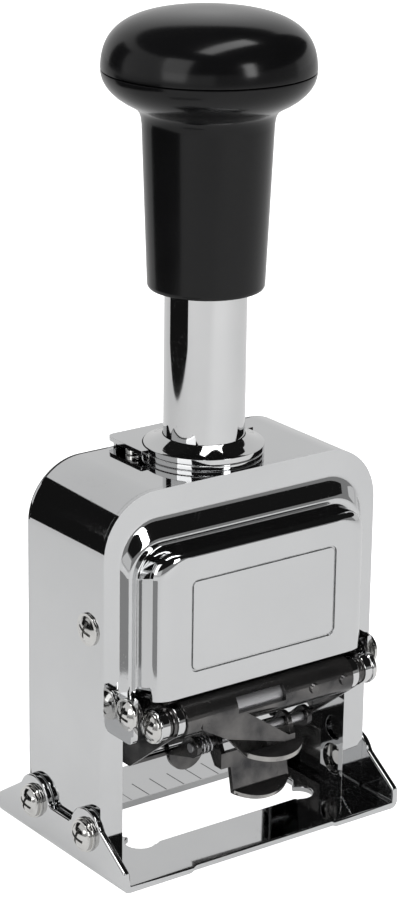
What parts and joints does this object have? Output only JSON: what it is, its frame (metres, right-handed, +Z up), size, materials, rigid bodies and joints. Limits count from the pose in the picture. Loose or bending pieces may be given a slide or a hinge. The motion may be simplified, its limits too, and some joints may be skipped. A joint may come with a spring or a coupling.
{
  "type": "numbering machine",
  "caption": "Hand numbering machine: a push knob drives number wheels down through the base window while the ink pad swings forward.",
  "frame": {"origin": "on the paper, at the bottom of the base, below the axis of the plunger", "axes": "+Z up along the plunger, +X across the front to the right, +Y to the back"},
  "size_m": [0.076, 0.0534, 0.171],
  "materials": {
    "chrome_sheet": "bright plated pressed sheet",
    "chrome_turned": "bright plated turned parts",
    "nickel_screw": "bright nickel screws and spacers",
    "dark_steel": "blackened steel, satin",
    "plain_steel": "machined steel",
    "spring_steel": "spring steel",
    "wheel_metal": "machined metal with raised digits",
    "knob_plastic": "glossy moulded plastic",
    "ink_felt": "inked felt"
  },
  "bodies": {
    "frame": {"base_plate": "chrome_sheet", "base_screws": "nickel_screw", "base_washers": "nickel_screw", "base_nuts": "nickel_screw", "outer_frame": "chrome_sheet", "front_cover": "chrome_sheet", "rear_cover": "chrome_sheet", "side_screws": "nickel_screw", "tab_screws": "nickel_screw", "pivot_bracket": "dark_steel", "pivot_shaft": "nickel_screw", "pivot_screws": "nickel_screw", "pivot_spacers": "nickel_screw", "cross_bar": "plain_steel", "spring_post": "plain_steel", "main_spring": "spring_steel", "collar_bush": "chrome_turned", "collar_disc": "chrome_turned"},
    "plunger": {"knob_cap": "knob_plastic", "knob_grip": "knob_plastic", "plunger_tube": "chrome_turned", "tube_plug": "plain_steel", "carriage": "plain_steel", "wheel_shaft": "plain_steel", "detent_comb": "spring_steel"},
    "feed_swing": {"feed_arm": "dark_steel", "feed_pawls": "plain_steel"},
    "pad_holder": {"pad_cradle": "dark_steel", "pad_tray": "chrome_sheet", "ink_pad": "ink_felt", "pad_sleeve": "dark_steel", "pad_tube": "plain_steel", "pad_rings": "nickel_screw", "pad_rivets": "dark_steel", "lever_pin": "plain_steel", "lever_spring": "spring_steel"},
    "release": {"release_lever": "dark_steel"},
    "lock": {"lock_slide": "chrome_sheet", "slide_pins": "nickel_screw"},
    "wheel_1_body": {"wheel_1": "wheel_metal"},
    "wheel_2_body": {"wheel_2": "wheel_metal"},
    "wheel_3_body": {"wheel_3": "wheel_metal"},
    "wheel_4_body": {"wheel_4": "wheel_metal"},
    "wheel_5_body": {"wheel_5": "wheel_metal"},
    "wheel_6_body": {"wheel_6": "wheel_metal"}
  },
  "joints": [
    {"name": "plunger_slide", "type": "slide", "parent": "frame", "child": "plunger", "axis": [0, 0, -1], "range_m": [0, 0.0254], "stiffness_N_per_m": 450, "springref_m": -0.012, "deforming": ["main_spring"]},
    {"name": "pad_swing", "type": "hinge", "parent": "frame", "child": "pad_holder", "pos_m": [0, -0.0209, 0.0338], "axis": [-1, 0, 0], "range_deg": [0, 100.5]},
    {"name": "feed_turn", "type": "hinge", "parent": "plunger", "child": "feed_swing", "pos_m": [0, -0.001, 0.0338], "axis": [1, 0, 0], "range_deg": [0, 36.5]},
    {"name": "release_turn", "type": "hinge", "parent": "pad_holder", "child": "release", "pos_m": [0, -0.0171, 0.0246], "axis": [-1, 0, 0], "range_deg": [0, 12], "stiffness_Nm_per_rad": 0.02, "springref_deg": -17.19},
    {"name": "lock_move", "type": "slide", "parent": "frame", "child": "lock", "axis": [0, 1, 0], "range_m": [0, 0.002]},
    {"name": "wheel_1_turn", "type": "hinge", "parent": "plunger", "child": "wheel_1_body", "pos_m": [0, -0.001, 0.0338], "axis": [1, 0, 0], "continuous": true},
    {"name": "wheel_2_turn", "type": "hinge", "parent": "plunger", "child": "wheel_2_body", "pos_m": [0, -0.001, 0.0338], "axis": [1, 0, 0], "continuous": true},
    {"name": "wheel_3_turn", "type": "hinge", "parent": "plunger", "child": "wheel_3_body", "pos_m": [0, -0.001, 0.0338], "axis": [1, 0, 0], "continuous": true},
    {"name": "wheel_4_turn", "type": "hinge", "parent": "plunger", "child": "wheel_4_body", "pos_m": [0, -0.001, 0.0338], "axis": [1, 0, 0], "continuous": true},
    {"name": "wheel_5_turn", "type": "hinge", "parent": "plunger", "child": "wheel_5_body", "pos_m": [0, -0.001, 0.0338], "axis": [1, 0, 0], "continuous": true},
    {"name": "wheel_6_turn", "type": "hinge", "parent": "plunger", "child": "wheel_6_body", "pos_m": [0, -0.001, 0.0338], "axis": [1, 0, 0], "continuous": true}
  ],
  "couplings": [
    {"joint": "pad_swing", "follows": "plunger_slide", "rad_per_m": 68.714},
    {"joint": "feed_turn", "follows": "plunger_slide", "rad_per_m": 24.737}
  ]
}
